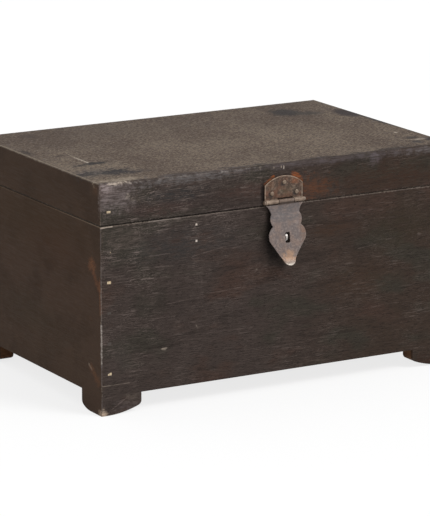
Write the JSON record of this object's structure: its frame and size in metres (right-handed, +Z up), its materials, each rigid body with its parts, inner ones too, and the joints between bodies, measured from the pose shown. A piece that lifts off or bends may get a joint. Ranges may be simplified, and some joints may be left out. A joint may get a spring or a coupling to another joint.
{
  "type": "small wooden chest",
  "caption": "Small dark wooden chest on bracket feet, with a lid hinged at the back, an iron hasp with a profiled plate at the front and an inner till.",
  "frame": {"origin": "on the floor, under the middle of the whole object, with the hasp in front and the hinges behind counted in", "axes": "+X to the right of someone who faces the front, +Y towards the back, +Z up"},
  "size_m": [0.44, 0.3184, 0.2513],
  "materials": {
    "wall_wood": "old dark stain, dull, worn to brown on the edges",
    "lid_top_wood": "dusty, faded dark stain with black marks",
    "foot_wood": "old dark stain, worn at the corners",
    "till_wood": "bare, aged brown",
    "bamboo": "bare end grain",
    "brad_steel": "worn bright",
    "nail_iron": "rusted dark",
    "dome_iron": "worn, dull",
    "hasp_iron": "grey-pink iron, rusted at the tip",
    "staple_iron": "worn bright at the crown",
    "leaf_iron": "brown rust with a worn rim",
    "pin_iron": "worn, dull"
  },
  "bodies": {
    "chest": {"front_board": "wall_wood", "back_board": "wall_wood", "left_side_board": "wall_wood", "right_side_board": "wall_wood", "base_board": "wall_wood", "foot_front_left_long": "foot_wood", "foot_front_left_side": "foot_wood", "foot_front_right_long": "foot_wood", "foot_front_right_side": "foot_wood", "foot_back_left_long": "foot_wood", "foot_back_left_side": "foot_wood", "foot_back_right_long": "foot_wood", "foot_back_right_side": "foot_wood", "till_divider": "till_wood", "till_floor": "till_wood", "till_brads": "brad_steel", "front_corner_pegs": "bamboo", "back_corner_pegs": "bamboo", "base_nails": "nail_iron", "foot_nails": "nail_iron", "hasp_staple": "staple_iron", "left_hinge_lower_leaf": "leaf_iron", "right_hinge_lower_leaf": "leaf_iron", "left_hinge_pin": "pin_iron", "right_hinge_pin": "pin_iron", "hinge_lower_nails": "dome_iron"},
    "lid": {"lid_top_board": "lid_top_wood", "lid_front_rail": "wall_wood", "lid_back_rail": "wall_wood", "lid_left_rail": "wall_wood", "lid_right_rail": "wall_wood", "lid_corner_pegs": "bamboo", "lid_nails": "nail_iron", "left_hinge_upper_leaf": "leaf_iron", "right_hinge_upper_leaf": "leaf_iron", "hinge_upper_nails": "dome_iron", "hasp_leaf": "leaf_iron", "hasp_leaf_nails": "dome_iron", "hasp_pin": "pin_iron"},
    "hasp": {"hasp_plate": "hasp_iron"}
  },
  "joints": [
    {"name": "lid_hinge", "type": "hinge", "parent": "chest", "child": "lid", "pos_m": [0, 0.15648, 0.20615], "axis": [-1, 0, 0], "range_deg": [0, 170]},
    {"name": "hasp_hinge", "type": "hinge", "parent": "lid", "child": "hasp", "pos_m": [0.0025, -0.14383, 0.2105], "axis": [-1, 0, 0], "range_deg": [-11, 160]}
  ]
}
